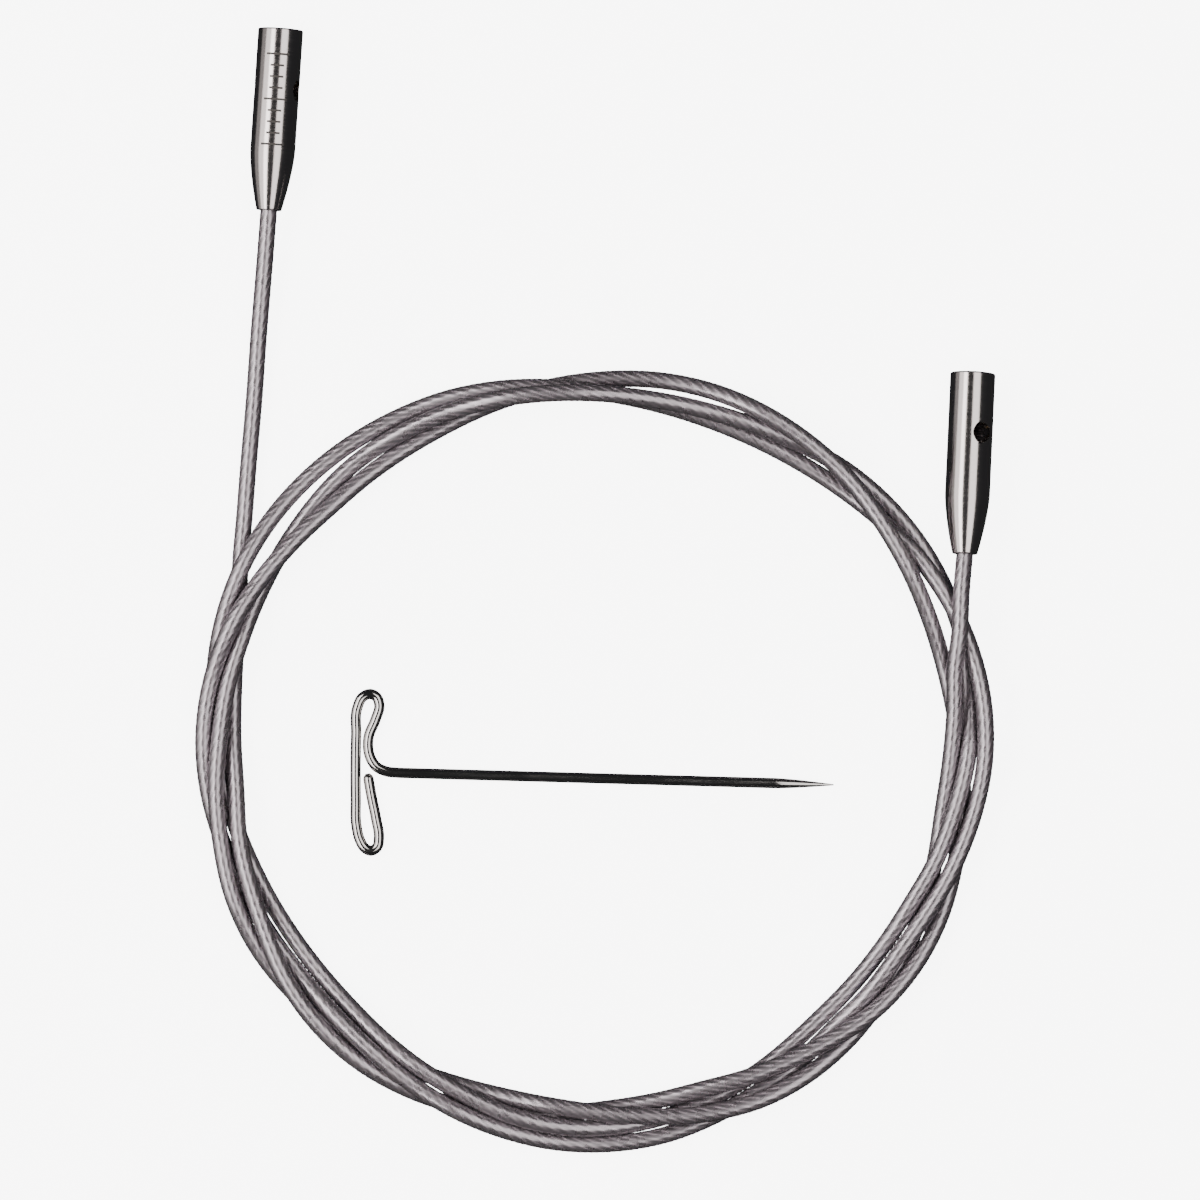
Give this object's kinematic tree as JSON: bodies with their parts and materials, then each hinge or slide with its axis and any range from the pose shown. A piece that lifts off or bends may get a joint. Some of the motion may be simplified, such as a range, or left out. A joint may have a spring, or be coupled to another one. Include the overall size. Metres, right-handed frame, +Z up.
{
  "type": "circular knitting needle cable",
  "caption": "Wound jacketed wire-rope cable for screw-on knitting needle tips, with a swivelling threaded connector on each end and a bent-wire tightening key lying in the coil.",
  "frame": {"origin": "on the plane the object lies on, under the middle of the box round the two connectors and the key", "axes": "+Z up off the plane, +Y the way both connectors' mouths point, +X across the coil towards the right-hand connector"},
  "size_m": [0.0638, 0.0898, 0.0044],
  "materials": {
    "nylon_jacket": "clear extruded nylon, smooth and lightly glossy",
    "rope_steel": "bright drawn steel wire",
    "barrel_steel": "satin turned stainless steel",
    "ferrule_steel": "plain crimped steel",
    "collar_brass": "turned brass",
    "key_nickel": "bright nickel plating"
  },
  "bodies": {
    "cable": {"cable_jacket": "nylon_jacket", "cable_rope": "rope_steel", "left_ferrule": "ferrule_steel", "right_ferrule": "ferrule_steel"},
    "left_connector": {"left_barrel": "barrel_steel", "left_collar": "collar_brass"},
    "right_connector": {"right_barrel": "barrel_steel", "right_collar": "collar_brass"},
    "key": {"key": "key_nickel"}
  },
  "joints": [
    {"name": "left_swivel", "type": "hinge", "parent": "cable", "child": "left_connector", "pos_m": [-0.02827, 0.01854, 0.0018], "axis": [0.0663, 0.9978, 0], "continuous": true},
    {"name": "right_swivel", "type": "hinge", "parent": "cable", "child": "right_connector", "pos_m": [0.02723, -0.00889, 0.00293], "axis": [0.0487, 0.9957, -0.0785], "continuous": true},
    {"name": "key_lift", "type": "slide", "parent": "cable", "child": "key", "axis": [0, 0, 1], "range_m": [0, 0.03]}
  ]
}
